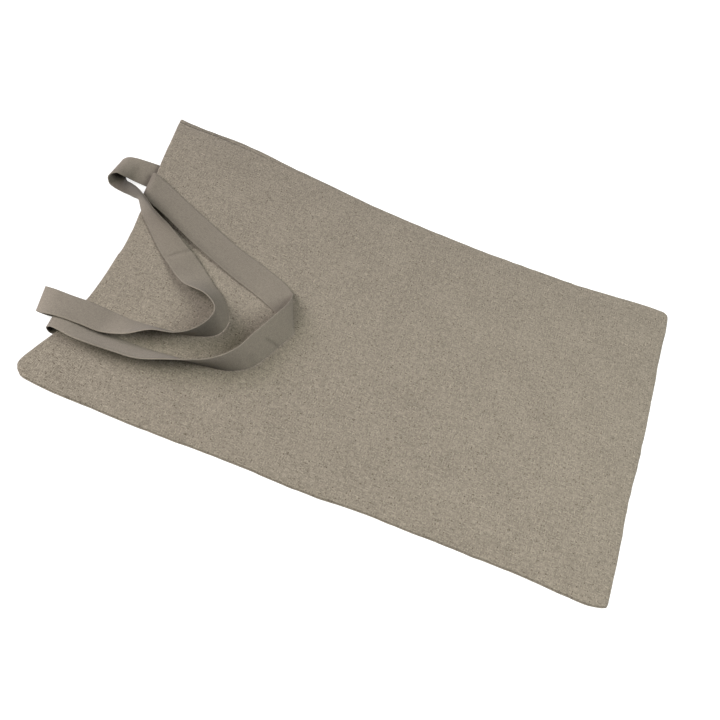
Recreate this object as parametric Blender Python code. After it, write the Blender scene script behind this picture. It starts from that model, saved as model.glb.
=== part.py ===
"""Linen bread bag lying flat, its two tape handles resting in loops on its upper side.

The bag is two panels of coarse linen laid one on the other and closed along three sides.
The fourth side is the mouth, where the upper panel stands a few millimetres clear of the
lower one. Each handle is one length of flat woven tape. Its two ends lie inside the mouth.

X runs along the bag, from the mouth (low X) to the closed end. Y runs across it. Z is up.
The origin is on the surface that the bag lies on, below the middle of the whole thing.
"""
import bpy
import numpy as np

MM = 0.001

# ---- driving sizes, in millimetres ----
LINEN_THICK = 1.2
TAPE_THICK = 1.0
PIECE_GAP = 0.3                 # clear distance kept between neighbouring pieces
CROWN_GAP = 2.2                 # how far the panels stand apart in the middle of the bag
MOUTH_GAP = 2.7                 # how much further they stand apart at the mouth
MOUTH_REACH = 120.0             # how far into the bag the wider gap runs
SHOULDER = 45.0                 # width over which the upper panel rises from its seams
SEAM_STEP = 0.8                 # how far the lower panel shows past the upper one at the seams
FAR_STEP = 2.6                  # the same along the far side near the mouth
FAR_STEP_END = 10.0             # where along the bag the far side is back to the plain step
FAR_STEP_FADE = 120.0           # length over which it gets there
MOUTH_X = -245.0                # where the mouth begins, for the rise of the upper panel
CLOSED_X = 250.6                # the closed end

# the whole thing's middle, so that the origin comes below it
CENTRE_X = -10.513
CENTRE_Y = -4.640

# ---- grid of the panels ----
UPPER_GRID = (46, 26)           # cells along and across the upper panel
LOWER_GRID = (30, 18)           # the same for the lower panel, which is flat
EDGE_BUNCHING = 0.11            # draws the grid's lines towards the edges, where it curves
OUTLINE_ROUNDS = 5              # passes that settle a grid point between the curved edges

# ---- outline of the bag: one row for each place where an edge changes its run ----
FAR_EDGE = (                    # columns: x, y
    (-250.0, 150.2), (-230.0, 149.4), (-195.0, 150.6), (-145.0, 147.4), (-120.0, 145.0),
    (-95.0, 143.0), (-45.0, 139.1), (-15.0, 137.6), (30.0, 136.9), (78.0, 138.0),
    (127.0, 140.4), (170.0, 143.3), (199.0, 146.9), (223.0, 150.3), (251.0, 151.8),
)
NEAR_EDGE = (                   # columns: x, y
    (-252.0, -157.4), (-225.0, -159.9), (-205.0, -160.3), (-180.0, -160.6), (-150.0, -160.8),
    (-120.0, -160.1), (-90.0, -158.9), (-60.0, -158.5), (-15.0, -158.8), (15.0, -158.2),
    (45.0, -155.9), (75.0, -156.2), (105.0, -155.0), (135.0, -155.3), (165.0, -154.8),
    (185.0, -155.4), (215.0, -156.2), (240.0, -155.5), (249.0, -153.4),
)
MOUTH_EDGE = (                  # columns: y, x
    (-160.0, -249.4), (-148.0, -251.0), (-133.0, -245.4), (-116.0, -238.8), (-90.0, -233.6),
    (-68.0, -230.1), (-45.0, -228.6), (-30.0, -228.8), (-15.0, -228.2), (15.0, -230.5),
    (50.0, -235.4), (86.0, -240.2), (118.0, -244.1), (152.0, -249.0),
)
CLOSED_EDGE = (                 # columns: y, x
    (-155.0, 249.2), (-100.0, 249.9), (-60.0, 249.6), (-20.0, 251.2), (20.0, 251.9),
    (75.0, 251.8), (110.0, 252.0), (130.0, 252.6), (153.0, 251.6),
)
CORNERS = (                     # columns: end of the run along, end across, radius
    (-1, 0, 3.0), (-1, -1, 6.0), (0, 0, 8.5),
)

# ---- the handles: one row for each section across the tape ----
# columns: x, y, z of one edge, then x, y, z of the other edge
FRONT_TAPE = (
    (-216.0, 81.0, 4.8, -206.0, 55.0, 4.7),         # sewn end, under the upper panel
    (-227.0, 76.2, 4.9, -217.0, 50.6, 4.9),
    (-238.4, 71.8, 5.0, -234.5, 46.5, 5.1),
    (-240.8, 71.6, 7.6, -237.7, 44.5, 7.6),         # fold over the edge of the mouth
    (-238.7, 70.8, 10.2, -234.7, 41.7, 11.6),
    (-224.9, 66.7, 8.8, -227.1, 36.3, 12.8),
    (-206.0, 58.6, 8.2, -215.1, 31.8, 12.2),        # wide strand lying across the bag
    (-174.0, 45.2, 7.2, -183.4, 18.0, 10.4),
    (-140.0, 31.6, 6.4, -149.3, 5.4, 8.0),
    (-110.0, 22.6, 6.0, -119.0, -4.6, 6.4),
    (-96.0, 17.6, 6.0, -106.0, -8.6, 6.0),
    (-87.0, 13.4, 6.4, -92.0, -14.2, 6.0),
    (-81.5, 9.2, 7.2, -76.0, -20.8, 6.0),
    (-78.8, 4.6, 9.4, -66.0, -26.6, 6.2),           # slanting fold at the turn
    (-77.8, -3.0, 14.0, -64.2, -29.2, 6.0),
    (-77.8, -12.0, 20.0, -64.6, -32.4, 6.0),
    (-79.2, -22.0, 25.4, -66.0, -36.4, 6.0),
    (-82.2, -32.4, 28.0, -68.4, -41.6, 6.0),        # standing part, leaning inwards
    (-87.5, -47.5, 29.0, -73.0, -53.0, 6.0),
    (-92.0, -59.4, 29.8, -78.0, -65.2, 6.0),
    (-94.4, -69.0, 31.4, -83.6, -75.0, 6.0),
    (-97.2, -78.0, 33.2, -92.0, -82.2, 6.0),
    (-104.0, -88.4, 33.6, -103.0, -87.2, 6.0),      # the two edges pass here
    (-113.2, -96.6, 32.4, -114.0, -89.4, 6.0),
    (-128.0, -104.0, 30.8, -130.0, -92.2, 6.0),
    (-146.0, -110.6, 28.2, -148.0, -94.0, 6.2),
    (-166.0, -117.4, 25.4, -168.0, -96.8, 6.6),
    (-186.0, -119.4, 24.8, -188.0, -97.6, 7.2),
    (-205.5, -120.8, 24.8, -207.0, -98.4, 7.8),
    (-221.0, -119.8, 22.2, -223.0, -95.8, 8.2),
    (-235.0, -116.4, 18.2, -236.5, -90.6, 8.6),
    (-241.8, -115.0, 14.8, -243.8, -88.4, 8.6),     # round fold just outside the mouth
    (-244.6, -114.8, 11.0, -246.4, -88.0, 7.6),
    (-243.2, -115.0, 6.4, -243.8, -88.0, 5.4),
    (-236.0, -115.0, 5.0, -236.0, -87.4, 5.0),
    (-216.0, -114.0, 5.0, -216.0, -86.0, 5.0),      # sewn end, under the upper panel
)
BACK_TAPE = (
    (-214.0, 86.0, 2.2, -214.0, 58.0, 2.2),         # sewn end, on the lower panel
    (-241.0, 86.6, 2.8, -241.0, 58.4, 3.0),
    (-254.0, 84.2, 4.6, -253.8, 57.0, 5.6),
    (-263.0, 81.8, 6.0, -260.5, 53.2, 12.0),
    (-268.6, 79.0, 6.6, -267.4, 51.6, 14.4),
    (-272.2, 74.0, 5.4, -273.2, 48.2, 9.4),         # small loop outside the mouth
    (-271.0, 70.6, 3.0, -271.6, 46.4, 3.4),
    (-266.0, 65.4, 3.0, -267.0, 45.2, 1.8),
    (-260.8, 57.2, 6.4, -262.0, 44.4, 1.4),
    (-255.7, 49.4, 12.7, -257.0, 44.0, 1.4),
    (-248.9, 43.8, 19.0, -251.5, 43.9, 1.6),
    (-240.4, 37.6, 24.8, -245.6, 42.8, 2.4),
    (-232.5, 32.5, 26.4, -239.8, 40.1, 5.8),
    (-225.6, 27.7, 27.0, -236.2, 34.9, 7.6),        # neck of the small loop
    (-218.8, 23.1, 26.0, -232.2, 28.9, 9.0),
    (-208.7, 19.0, 23.4, -226.6, 22.0, 8.9),        # narrow strand, its far edge raised
    (-199.4, 16.3, 20.4, -217.7, 13.2, 8.6),
    (-189.4, 12.3, 16.8, -208.4, 4.3, 8.2),
    (-178.7, 7.7, 12.8, -196.2, -6.7, 8.4),
    (-169.6, 4.2, 9.2, -184.7, -15.8, 10.2),
    (-159.7, -1.9, 7.0, -175.3, -23.6, 12.4),
    (-150.0, -9.0, 6.2, -165.0, -30.4, 16.0),
    (-141.4, -15.6, 6.0, -154.0, -34.6, 22.0),
    (-131.4, -22.6, 6.0, -144.8, -37.0, 25.0),
    (-122.6, -33.0, 6.0, -137.4, -41.2, 27.6),      # the turn
    (-118.0, -43.6, 6.0, -131.8, -46.2, 30.0),
    (-118.4, -52.6, 6.0, -129.2, -50.0, 31.4),
    (-122.0, -59.4, 6.0, -127.4, -55.4, 32.8),
    (-127.6, -63.4, 6.0, -128.2, -63.2, 33.4),
    (-134.4, -66.6, 6.0, -132.0, -71.6, 32.8),      # the two edges pass here
    (-141.6, -69.0, 6.0, -138.4, -79.2, 31.4),
    (-150.8, -71.6, 6.2, -147.4, -85.0, 30.0),
    (-168.4, -74.6, 6.6, -166.0, -90.6, 29.0),
    (-189.6, -77.4, 7.4, -186.6, -100.6, 22.0),
    (-204.6, -77.2, 8.2, -204.0, -103.6, 17.4),
    (-223.0, -76.8, 8.8, -222.0, -103.3, 16.0),
    (-244.0, -77.8, 9.0, -243.0, -104.6, 15.9),
    (-258.2, -77.6, 8.0, -253.4, -105.2, 13.4),     # flat fold well outside the mouth
    (-266.2, -76.8, 4.8, -259.8, -103.2, 8.4),
    (-262.0, -75.8, 1.8, -256.2, -100.6, 3.2),
    (-243.4, -75.6, 2.2, -240.6, -98.4, 2.2),
    (-217.0, -72.4, 2.2, -216.0, -99.4, 2.2),       # sewn end, on the lower panel
)
TAPE_STEP = 2.4                 # length of one facet along a tape
TAPE_SPAN = 2                   # facets across a tape

# ---- colours of the cloth: red, green, blue and roughness ----
LINEN_FINISH = (0.33, 0.28, 0.21, 0.95)
LOWER_FINISH = (0.30, 0.25, 0.19, 0.95)
TAPE_FINISH = (0.27, 0.24, 0.20, 0.85)


def clear_scene():
    """Take away whatever a new file starts with."""
    for thing in list(bpy.data.objects):
        bpy.data.objects.remove(thing, do_unlink=True)


def cloth_material(name, finish):
    """A plain cloth of one colour."""
    material = bpy.data.materials.new(name)
    material.use_nodes = True
    shader = material.node_tree.nodes["Principled BSDF"]
    shader.inputs["Base Color"].default_value = (*finish[:3], 1.0)
    shader.inputs["Roughness"].default_value = finish[3]
    shader.inputs["Metallic"].default_value = 0.0
    return material


def smooth_slopes(stations, values):
    """Slope of a smooth curve at each of its stations."""
    spans = np.diff(stations)
    chords = np.diff(values, axis=0) / spans[:, None]
    slopes = np.empty_like(values)
    slopes[0], slopes[-1] = chords[0], chords[-1]
    before, after = spans[:-1, None], spans[1:, None]
    slopes[1:-1] = (chords[:-1] * after + chords[1:] * before) / (before + after)
    return slopes


def smooth_curve(stations, values, places):
    """Values of the smooth curve through the stations, read at other places."""
    stations, values = np.asarray(stations, float), np.asarray(values, float)
    slopes = smooth_slopes(stations, values)
    left = np.clip(np.searchsorted(stations, places) - 1, 0, len(stations) - 2)
    span = (stations[left + 1] - stations[left])[:, None]
    t = (np.asarray(places)[:, None] - stations[left][:, None]) / span
    return ((1 + 2 * t) * (1 - t) ** 2 * values[left] + t * (1 - t) ** 2 * span * slopes[left]
            + t * t * (3 - 2 * t) * values[left + 1] + t * t * (t - 1) * span * slopes[left + 1])


def edge_curve(rows, places):
    """Read an outline edge: the second column as a smooth function of the first."""
    table = np.array(rows)
    places = np.clip(places, table[0, 0], table[-1, 0])
    return smooth_curve(table[:, 0], table[:, 1:], places)[:, 0]


def ease(t):
    """Soft step from 0 to 1."""
    t = np.clip(t, 0.0, 1.0)
    return t * t * (3.0 - 2.0 * t)


def shoulder(distance):
    """Rise of the upper panel at a distance from a seam, from 0 to 1."""
    return 1.0 - (1.0 - np.clip(distance / SHOULDER, 0.0, 1.0)) ** 2


def panel_gap(x, y):
    """Clear height between the two panels."""
    far = edge_curve(FAR_EDGE, x) - y
    near = y - edge_curve(NEAR_EDGE, x)
    closed = CLOSED_X - x
    at_mouth = ease(1.0 - (x - MOUTH_X) / MOUTH_REACH)
    rise = CROWN_GAP + MOUTH_GAP * at_mouth
    return PIECE_GAP + rise * shoulder(far) * shoulder(near) * shoulder(closed)


def bunched(cells):
    """Shares from 0 to 1, closer together towards both ends."""
    share = np.linspace(0.0, 1.0, cells + 1)
    return share - EDGE_BUNCHING * np.sin(2.0 * np.pi * share)


def panel_points(cells, inset):
    """A panel's grid, [along, across], as x and y in millimetres.

    The grid fills the bag's outline. With an inset it stays inside it by the seam steps.
    """
    along, across = np.meshgrid(bunched(cells[0]), bunched(cells[1]), indexing="ij")
    along, across = along.ravel(), across.ravel()
    x = MOUTH_X + (CLOSED_X - MOUTH_X) * along
    for _ in range(OUTLINE_ROUNDS):
        far_step = SEAM_STEP + (FAR_STEP - SEAM_STEP) * ease((FAR_STEP_END - x) / FAR_STEP_FADE)
        low = edge_curve(NEAR_EDGE, x) + SEAM_STEP * inset
        high = edge_curve(FAR_EDGE, x) - far_step * inset
        y = low + (high - low) * across
        start = edge_curve(MOUTH_EDGE, y)
        end = edge_curve(CLOSED_EDGE, y) - SEAM_STEP * inset
        x = start + (end - start) * along
    return np.column_stack([x, y]).reshape(cells[0] + 1, cells[1] + 1, 2)


def round_corners(grid):
    """Pull the two corners of the closed end and the near corner of the mouth inwards."""
    for end_along, end_across, radius in CORNERS:
        corner = grid[end_along, end_across].copy()
        inward_x = -np.sign(corner[0])
        inward_y = -np.sign(corner[1])
        centre = corner + radius * np.array([inward_x, inward_y])
        offset = grid - centre
        beyond_x = np.maximum(-offset[..., 0] * inward_x, 0.0)
        beyond_y = np.maximum(-offset[..., 1] * inward_y, 0.0)
        square = np.maximum(beyond_x, beyond_y)
        reach = np.hypot(beyond_x, beyond_y)
        inside = (beyond_x > 0) & (beyond_y > 0)
        shrink = np.where(inside, square / np.maximum(reach, 1e-9), 1.0)
        grid[..., 0] = np.where(inside, centre[0] + offset[..., 0] * shrink, grid[..., 0])
        grid[..., 1] = np.where(inside, centre[1] + offset[..., 1] * shrink, grid[..., 1])
    return grid


def to_world(points):
    """Millimetres in the bag's plan to metres about the part's origin."""
    return (points - np.array([CENTRE_X, CENTRE_Y, 0.0])) * MM


def solid_sheet(name, upper, lower, material):
    """One closed body between two grids of points, each [along, across, xyz]."""
    rows, columns = upper.shape[:2]
    count = rows * columns
    points = np.concatenate([upper.reshape(-1, 3), lower.reshape(-1, 3)])
    faces = []
    for i in range(rows - 1):
        for j in range(columns - 1):
            a = i * columns + j
            b, c, d = a + columns, a + columns + 1, a + 1
            faces.append((a, b, c, d))
            faces.append((a + count, d + count, c + count, b + count))
    rim = [i * columns for i in range(rows)]
    rim += [(rows - 1) * columns + j for j in range(1, columns)]
    rim += [i * columns + columns - 1 for i in range(rows - 2, -1, -1)]
    rim += list(range(columns - 2, 0, -1))
    for a, b in zip(rim, rim[1:] + rim[:1]):
        faces.append((b, a, a + count, b + count))
    mesh = bpy.data.meshes.new(name)
    mesh.from_pydata(to_world(points).tolist(), [], faces)
    mesh.validate()
    mesh.materials.append(material)
    mesh.shade_smooth()
    sheet = bpy.data.objects.new(name, mesh)
    bpy.context.scene.collection.objects.link(sheet)
    return sheet


def lower_panel():
    """The panel that lies on the table: flat, with the bag's whole outline."""
    grid = round_corners(panel_points(LOWER_GRID, 0.0))
    floor = np.dstack([grid, np.zeros(grid.shape[:2])])
    top = floor + np.array([0.0, 0.0, LINEN_THICK])
    return solid_sheet("lower_panel", top, floor, cloth_material("lower_linen", LOWER_FINISH))


def upper_panel():
    """The panel above it: a low crown, open at the mouth and down on its three seams."""
    grid = round_corners(panel_points(UPPER_GRID, 1.0))
    shape = grid.shape[:2]
    gap = panel_gap(grid[..., 0].ravel(), grid[..., 1].ravel()).reshape(shape)
    under = np.dstack([grid, LINEN_THICK + gap])
    top = under + np.array([0.0, 0.0, LINEN_THICK])
    return solid_sheet("upper_panel", top, under, cloth_material("upper_linen", LINEN_FINISH))


def tape_sections(rows):
    """The two edges of a tape, read every few millimetres from the smooth curve."""
    table = np.array(rows)
    middle = (table[:, :3] + table[:, 3:]) / 2.0
    stations = np.concatenate([[0.0], np.cumsum(np.linalg.norm(np.diff(middle, axis=0), axis=1))])
    places = np.linspace(0.0, stations[-1], int(stations[-1] / TAPE_STEP) + 1)
    dense = smooth_curve(stations, table, places)
    return dense[:, :3], dense[:, 3:]


def tape(name, rows, material):
    """A flat tape whose edges follow the rows of a table."""
    first, second = tape_sections(rows)
    share = np.linspace(0.0, 1.0, TAPE_SPAN + 1)[None, :, None]
    middle = first[:, None] * (1.0 - share) + second[:, None] * share
    along = np.gradient(middle, axis=0)
    across = np.repeat((second - first)[:, None], TAPE_SPAN + 1, axis=1)
    outward = np.cross(along, across)
    outward /= np.linalg.norm(outward, axis=2, keepdims=True)
    half = outward * TAPE_THICK / 2.0
    return solid_sheet(name, middle + half, middle - half, material)


def build():
    """Make the four pieces."""
    clear_scene()
    lower_panel()
    upper_panel()
    woven = cloth_material("woven_tape", TAPE_FINISH)
    tape("front_handle", FRONT_TAPE, woven)
    tape("back_handle", BACK_TAPE, woven)


build()
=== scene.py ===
"""Linen bread bag lying flat, its two tape handles resting in loops on its upper side.

The bag is two panels of coarse slubby linen, sewn along three sides. The fourth side is the
mouth. Each handle is one length of flat woven tape with both ends sewn inside the mouth.

X runs along the bag, from the mouth (low X) to the closed end. Y runs across it. Z is up.
Tables and driving sizes are in millimetres in the bag's plan; to_world turns them to metres.
"""

import functools
import math

import bpy
import numpy as np
from mathutils import Matrix, Vector


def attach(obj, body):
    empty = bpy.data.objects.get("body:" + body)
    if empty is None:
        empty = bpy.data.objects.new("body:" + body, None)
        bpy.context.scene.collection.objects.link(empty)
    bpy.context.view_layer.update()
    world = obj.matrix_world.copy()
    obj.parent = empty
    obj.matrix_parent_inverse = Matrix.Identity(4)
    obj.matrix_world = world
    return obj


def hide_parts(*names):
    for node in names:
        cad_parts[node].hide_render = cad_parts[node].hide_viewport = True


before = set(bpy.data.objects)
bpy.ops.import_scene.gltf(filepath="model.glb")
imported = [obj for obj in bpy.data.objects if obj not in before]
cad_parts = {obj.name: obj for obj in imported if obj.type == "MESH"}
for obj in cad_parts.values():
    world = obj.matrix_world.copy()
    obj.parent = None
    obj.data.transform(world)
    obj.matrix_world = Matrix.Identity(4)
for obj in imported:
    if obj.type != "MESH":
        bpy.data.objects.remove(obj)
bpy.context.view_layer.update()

MM = 0.001

# ---- driving sizes, in millimetres ----
LINEN_THICK = 1.2
TAPE_WIDTH = 28.0
TAPE_THICK = 0.8                # cloth of the tape between its selvedges
SELVEDGE_THICK = 1.0            # the firmer edge of the tape
SELVEDGE_WIDTH = 1.3
SELVEDGE_HIGHLIGHT = 0.03            # how much paler both edges are painted: a painted highlight where the selvedges catch light
PIECE_GAP = 0.3                 # clear distance kept between neighbouring pieces
CROWN_GAP = 2.2                 # how far the panels stand apart in the middle of the bag
MOUTH_GAP = 2.7                 # how much further they stand apart at the mouth
MOUTH_REACH = 120.0             # how far into the bag the wider gap runs
SHOULDER = 45.0                 # width over which the upper panel rises from its seams
SEAM_STEP = 0.8                 # how far the lower panel shows past the upper one at the seams
FAR_STEP = 2.6                  # the same along the far side near the mouth
FAR_STEP_END = 10.0             # where along the bag the far side is back to the plain step
FAR_STEP_FADE = 120.0           # length over which it gets there
MOUTH_X = -245.0                # where the mouth begins, for the rise of the upper panel
CLOSED_X = 250.6                # the closed end
EDGE_WOBBLE = 0.40              # how far the turned edges wander from their run
EDGE_WAVES = ((23.0, 0.8), (8.0, 0.6))  # columns: length, share of the wander
NEAR_SEED, FAR_SEED, MOUTH_SEED, CLOSED_SEED = 3, 13, 23, 33
CLOTH_RELIEF = 0.45             # depth of the soft hollows in the upper panel
HOLLOW_WAVES = ((46.0, 0.55, 5), (17.0, 0.45, 6))   # columns: size, share, seed

# middle of the bag with its handles; the origin lies below it
CENTRE_X = -10.513
CENTRE_Y = -4.640

# ---- outline of the bag: one row for each place where an edge changes its run ----
FAR_EDGE = (                    # columns: x, y
    (-250.0, 150.2), (-230.0, 149.4), (-195.0, 150.6), (-145.0, 147.4), (-120.0, 145.0),
    (-95.0, 143.0), (-45.0, 139.1), (-15.0, 137.6), (30.0, 136.9), (78.0, 138.0),
    (127.0, 140.4), (170.0, 143.3), (199.0, 146.9), (223.0, 150.3), (251.0, 151.8),
)
NEAR_EDGE = (                   # columns: x, y
    (-252.0, -157.4), (-225.0, -159.9), (-205.0, -160.3), (-180.0, -160.6), (-150.0, -160.8),
    (-120.0, -160.1), (-90.0, -158.9), (-60.0, -158.5), (-15.0, -158.8), (15.0, -158.2),
    (45.0, -155.9), (75.0, -156.2), (105.0, -155.0), (135.0, -155.3), (165.0, -154.8),
    (185.0, -155.4), (215.0, -156.2), (240.0, -155.5), (249.0, -153.4),
)
MOUTH_EDGE = (                  # columns: y, x
    (-160.0, -249.4), (-148.0, -251.0), (-133.0, -245.4), (-116.0, -238.8), (-90.0, -233.6),
    (-68.0, -230.1), (-45.0, -228.6), (-30.0, -228.8), (-15.0, -228.2), (15.0, -230.5),
    (50.0, -235.4), (86.0, -240.2), (118.0, -244.1), (152.0, -249.0),
)
CLOSED_EDGE = (                 # columns: y, x
    (-155.0, 249.2), (-100.0, 249.9), (-60.0, 249.6), (-20.0, 251.2), (20.0, 251.9),
    (75.0, 251.8), (110.0, 252.0), (130.0, 252.6), (153.0, 251.6),
)
GROOVE = (                      # the pressed groove inside the far seam, with painted shadow in it
    # columns: x, distance from the edge, strength, painted shade of the strip outside it
    (-250.0, 6.2, 1.0, 1.00), (-237.0, 6.2, 1.0, 0.98), (-225.0, 5.6, 1.0, 0.84),
    (-212.0, 5.7, 0.9, 0.76), (-197.0, 6.6, 0.9, 0.90), (-180.0, 6.4, 0.7, 1.00),
    (-160.0, 6.0, 0.6, 1.00), (-135.0, 4.8, 0.4, 1.00), (-70.0, 3.0, 0.0, 1.00),
)
GROOVE_HALF = 0.8               # half width of the groove
GROOVE_DEPTH = 0.7
GROOVE_PAINTED_SHADOW = 0.62              # how much painted shadow darkens the cloth in the groove
GROOVE_UNEVEN = 0.12            # share by which its strength comes and goes
GROOVE_WAVE, GROOVE_SEED = 31.0, 41
LIP_PAINTED_HIGHLIGHT = 0.16                 # how much a painted highlight lightens its inner lip
LIP_PLACE, LIP_HALF = 2.0, 1.1  # where the lip lies and its half width, in half widths above
CORNERS = (                     # columns: end of the run along, end across, radius
    (-1, 0, 3.0), (-1, -1, 6.0), (0, 0, 8.5),
)

# ---- the handles: one row for each section across the tape ----
# columns: x, y, z of one edge, then x, y, z of the other edge
FRONT_TAPE = (
    (-216.0, 81.0, 4.8, -206.0, 55.0, 4.7),         # sewn end, under the upper panel
    (-227.0, 76.2, 4.9, -217.0, 50.6, 4.9),
    (-238.4, 71.8, 5.0, -234.5, 46.5, 5.1),
    (-240.8, 71.6, 7.6, -237.7, 44.5, 7.6),         # fold over the edge of the mouth
    (-238.7, 70.8, 10.2, -234.7, 41.7, 11.6),
    (-224.9, 66.7, 8.8, -227.1, 36.3, 12.8),
    (-206.0, 58.6, 8.2, -215.1, 31.8, 12.2),        # wide strand lying across the bag
    (-174.0, 45.2, 7.2, -183.4, 18.0, 10.4),
    (-140.0, 31.6, 6.4, -149.3, 5.4, 8.0),
    (-110.0, 22.6, 6.0, -119.0, -4.6, 6.4),
    (-96.0, 17.6, 6.0, -106.0, -8.6, 6.0),
    (-87.0, 13.4, 6.4, -92.0, -14.2, 6.0),
    (-81.5, 9.2, 7.2, -76.0, -20.8, 6.0),
    (-78.8, 4.6, 9.4, -66.0, -26.6, 6.2),           # slanting fold at the turn
    (-77.8, -3.0, 14.0, -64.2, -29.2, 6.0),
    (-77.8, -12.0, 20.0, -64.6, -32.4, 6.0),
    (-79.2, -22.0, 25.4, -66.0, -36.4, 6.0),
    (-82.2, -32.4, 28.0, -68.4, -41.6, 6.0),        # standing part, leaning inwards
    (-87.5, -47.5, 29.0, -73.0, -53.0, 6.0),
    (-92.0, -59.4, 29.8, -78.0, -65.2, 6.0),
    (-94.4, -69.0, 31.4, -83.6, -75.0, 6.0),
    (-97.2, -78.0, 33.2, -92.0, -82.2, 6.0),
    (-104.0, -88.4, 33.6, -103.0, -87.2, 6.0),      # the two edges pass here
    (-113.2, -96.6, 32.4, -114.0, -89.4, 6.0),
    (-128.0, -104.0, 30.8, -130.0, -92.2, 6.0),
    (-146.0, -110.6, 28.2, -148.0, -94.0, 6.2),
    (-166.0, -117.4, 25.4, -168.0, -96.8, 6.6),
    (-186.0, -119.4, 24.8, -188.0, -97.6, 7.2),
    (-205.5, -120.8, 24.8, -207.0, -98.4, 7.8),
    (-221.0, -119.8, 22.2, -223.0, -95.8, 8.2),
    (-235.0, -116.4, 18.2, -236.5, -90.6, 8.6),
    (-241.8, -115.0, 14.8, -243.8, -88.4, 8.6),     # round fold just outside the mouth
    (-244.6, -114.8, 11.0, -246.4, -88.0, 7.6),
    (-243.2, -115.0, 6.4, -243.8, -88.0, 5.4),
    (-236.0, -115.0, 5.0, -236.0, -87.4, 5.0),
    (-216.0, -114.0, 5.0, -216.0, -86.0, 5.0),      # sewn end, under the upper panel
)
BACK_TAPE = (
    (-214.0, 86.0, 2.2, -214.0, 58.0, 2.2),         # sewn end, on the lower panel
    (-241.0, 86.6, 2.8, -241.0, 58.4, 3.0),
    (-254.0, 84.2, 4.6, -253.8, 57.0, 5.6),
    (-263.0, 81.8, 6.0, -260.5, 53.2, 12.0),
    (-268.6, 79.0, 6.6, -267.4, 51.6, 14.4),
    (-272.2, 74.0, 5.4, -273.2, 48.2, 9.4),         # small loop outside the mouth
    (-271.0, 70.6, 3.0, -271.6, 46.4, 3.4),
    (-266.0, 65.4, 3.0, -267.0, 45.2, 1.8),
    (-260.8, 57.2, 6.4, -262.0, 44.4, 1.4),
    (-255.7, 49.4, 12.7, -257.0, 44.0, 1.4),
    (-248.9, 43.8, 19.0, -251.5, 43.9, 1.6),
    (-240.4, 37.6, 24.8, -245.6, 42.8, 2.4),
    (-232.5, 32.5, 26.4, -239.8, 40.1, 5.8),
    (-225.6, 27.7, 27.0, -236.2, 34.9, 7.6),        # neck of the small loop
    (-218.8, 23.1, 26.0, -232.2, 28.9, 9.0),
    (-208.7, 19.0, 23.4, -226.6, 22.0, 8.9),        # narrow strand, its far edge raised
    (-199.4, 16.3, 20.4, -217.7, 13.2, 8.6),
    (-189.4, 12.3, 16.8, -208.4, 4.3, 8.2),
    (-178.7, 7.7, 12.8, -196.2, -6.7, 8.4),
    (-169.6, 4.2, 9.2, -184.7, -15.8, 10.2),
    (-159.7, -1.9, 7.0, -175.3, -23.6, 12.4),
    (-150.0, -9.0, 6.2, -165.0, -30.4, 16.0),
    (-141.4, -15.6, 6.0, -154.0, -34.6, 22.0),
    (-131.4, -22.6, 6.0, -144.8, -37.0, 25.0),
    (-122.6, -33.0, 6.0, -137.4, -41.2, 27.6),      # the turn
    (-118.0, -43.6, 6.0, -131.8, -46.2, 30.0),
    (-118.4, -52.6, 6.0, -129.2, -50.0, 31.4),
    (-122.0, -59.4, 6.0, -127.4, -55.4, 32.8),
    (-127.6, -63.4, 6.0, -128.2, -63.2, 33.4),
    (-134.4, -66.6, 6.0, -132.0, -71.6, 32.8),      # the two edges pass here
    (-141.6, -69.0, 6.0, -138.4, -79.2, 31.4),
    (-150.8, -71.6, 6.2, -147.4, -85.0, 30.0),
    (-168.4, -74.6, 6.6, -166.0, -90.6, 29.0),
    (-189.6, -77.4, 7.4, -186.6, -100.6, 22.0),
    (-204.6, -77.2, 8.2, -204.0, -103.6, 17.4),
    (-223.0, -76.8, 8.8, -222.0, -103.3, 16.0),
    (-244.0, -77.8, 9.0, -243.0, -104.6, 15.9),
    (-258.2, -77.6, 8.0, -253.4, -105.2, 13.4),     # flat fold well outside the mouth
    (-266.2, -76.8, 4.8, -259.8, -103.2, 8.4),
    (-262.0, -75.8, 1.8, -256.2, -100.6, 3.2),
    (-243.4, -75.6, 2.2, -240.6, -98.4, 2.2),
    (-217.0, -72.4, 2.2, -216.0, -99.4, 2.2),       # sewn end, on the lower panel
)

# soft creases across the handles, each over a share of the width; each also carries painted shade,
# a painted shadow in the crease or painted light beside it
FRONT_CREASES = (               # columns: row, slant, half width, from, to, depth, painted shade
    (18.1, -16.0, 1.0, 0.36, 1.0, -0.35, 0.64),
    (19.9, -4.0, 3.0, 0.45, 1.0, 0.0, 0.88),
)
BACK_CREASES = (
    (18.3, -1.0, 0.9, -0.2, 0.8, 0.30, 0.72),
    (18.6, -1.0, 1.6, -0.2, 0.8, 0.0, 1.06),
)
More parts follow.
